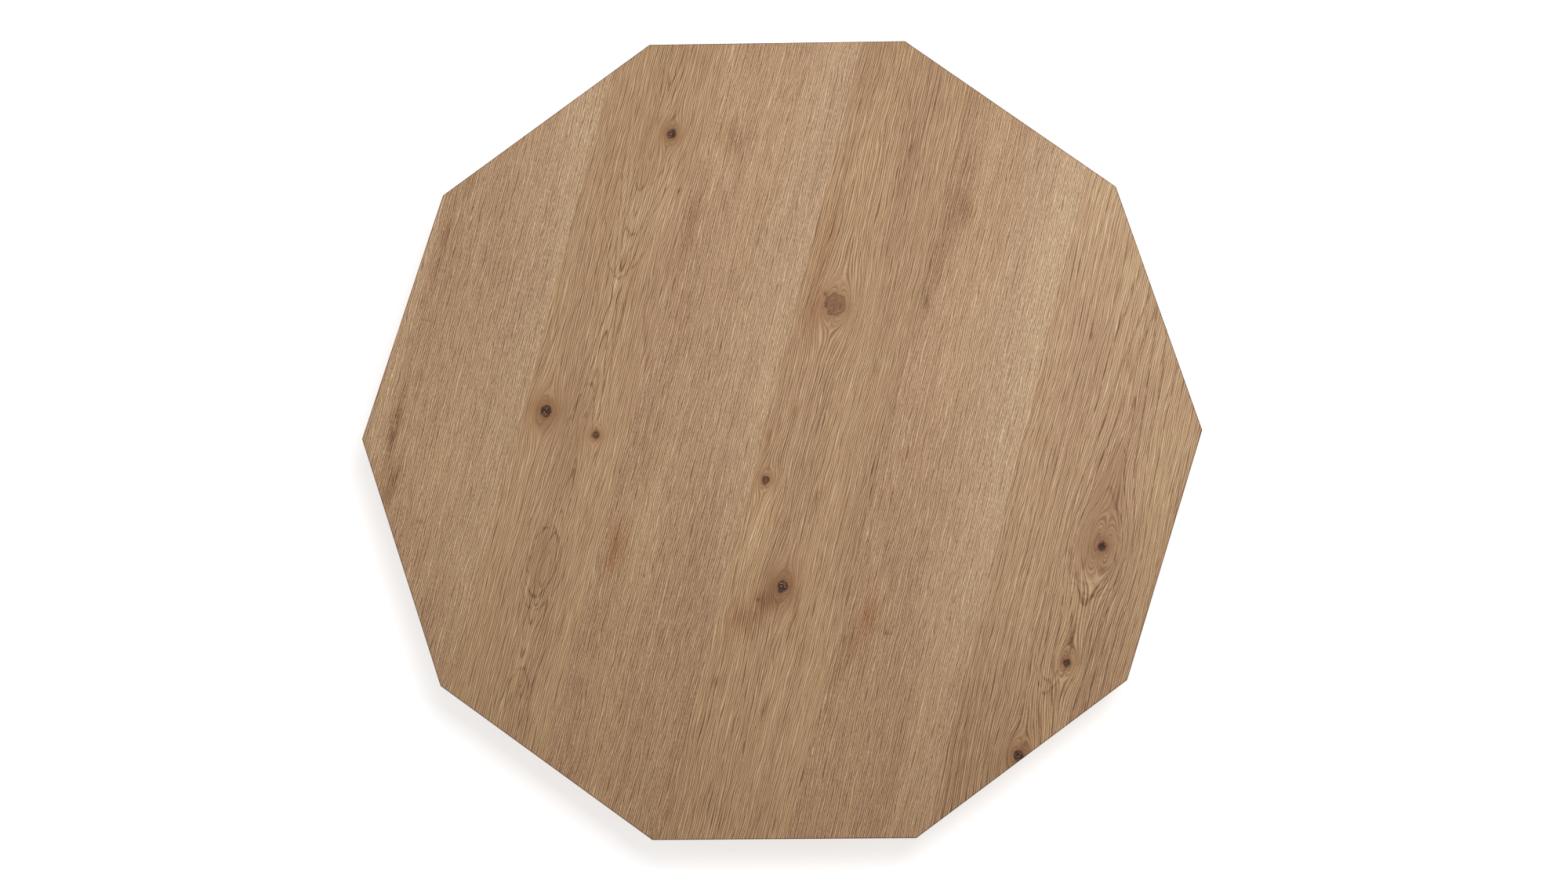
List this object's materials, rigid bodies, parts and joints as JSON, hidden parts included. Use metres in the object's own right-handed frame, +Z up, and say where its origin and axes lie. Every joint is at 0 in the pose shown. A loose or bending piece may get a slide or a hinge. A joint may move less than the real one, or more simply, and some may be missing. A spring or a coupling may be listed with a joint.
{
  "type": "crokinole board",
  "caption": "Ten-sided crokinole board with a round recessed playing surface, ditch, rails and discs, under a plain lift-off cover of knotty oak planks.",
  "frame": {"origin": "on the surface the feet stand on, directly below the centre of the board", "axes": "+Z up out of the cover's top face; +X through the middle of a corner, along the longest width; +Y through the middle of a flat side"},
  "size_m": [0.8436, 0.8024, 0.078],
  "materials": {
    "cover_oak": "oiled, lightly brushed knotty oak",
    "edge_oak": "oiled oak",
    "backing_oak": "plain oak backing sheet",
    "plywood": "birch plywood",
    "play_maple": "smooth lacquered maple",
    "walnut": "walnut inlay",
    "felt": "green wool felt",
    "brass": "turned brass",
    "zinc_screw": "bright zinc",
    "peg_rubber": "soft black rubber sleeve",
    "foot_rubber": "moulded black rubber",
    "disc_maple": "polished maple",
    "disc_walnut": "polished walnut"
  },
  "bodies": {
    "board": {"base_panel": "plywood", "playing_surface": "play_maple", "inner_circle_line": "walnut", "middle_circle_line": "walnut", "outer_circle_line": "walnut", "quadrant_lines": "walnut", "hole_felt": "felt", "peg_screws": "brass", "peg_sleeves": "peg_rubber", "rail_01": "edge_oak", "rail_02": "edge_oak", "rail_03": "edge_oak", "rail_04": "edge_oak", "rail_05": "edge_oak", "rail_06": "edge_oak", "rail_07": "edge_oak", "rail_08": "edge_oak", "rail_09": "edge_oak", "rail_10": "edge_oak", "rail_corner_splines": "walnut", "rail_screws": "zinc_screw", "panel_screws": "zinc_screw", "rubber_foot_1": "foot_rubber", "rubber_foot_2": "foot_rubber", "rubber_foot_3": "foot_rubber", "rubber_foot_4": "foot_rubber", "rubber_foot_5": "foot_rubber", "foot_screws": "zinc_screw"},
    "cover": {"cover_leaf_1": "cover_oak", "cover_leaf_2": "cover_oak", "cover_leaf_3": "cover_oak", "cover_leaf_4": "cover_oak", "cover_leaf_5": "cover_oak", "cover_leaf_6": "cover_oak", "cover_leaf_7": "cover_oak", "cover_core": "plywood", "cover_backing": "backing_oak", "cover_lipping_01": "edge_oak", "cover_lipping_02": "edge_oak", "cover_lipping_03": "edge_oak", "cover_lipping_04": "edge_oak", "cover_lipping_05": "edge_oak", "cover_lipping_06": "edge_oak", "cover_lipping_07": "edge_oak", "cover_lipping_08": "edge_oak", "cover_lipping_09": "edge_oak", "cover_lipping_10": "edge_oak", "cover_cleat_1": "edge_oak", "cover_cleat_2": "edge_oak", "cover_cleat_3": "edge_oak", "cover_cleat_4": "edge_oak", "cover_cleat_5": "edge_oak", "cover_cleat_screws": "zinc_screw", "cover_felt_pads": "felt"},
    "light_discs": {"light_discs": "disc_maple"},
    "dark_discs": {"dark_discs": "disc_walnut"}
  },
  "joints": [
    {"name": "cover_lift", "type": "slide", "parent": "board", "child": "cover", "axis": [0, 0, 1], "range_m": [0, 0.3]},
    {"name": "light_disc_sweep", "type": "hinge", "parent": "board", "child": "light_discs", "pos_m": [0, 0, 0.0231], "axis": [0, 0, 1], "range_deg": [-26, 26]},
    {"name": "dark_disc_sweep", "type": "hinge", "parent": "board", "child": "dark_discs", "pos_m": [0, 0, 0.0231], "axis": [0, 0, 1], "range_deg": [-26, 26]}
  ]
}
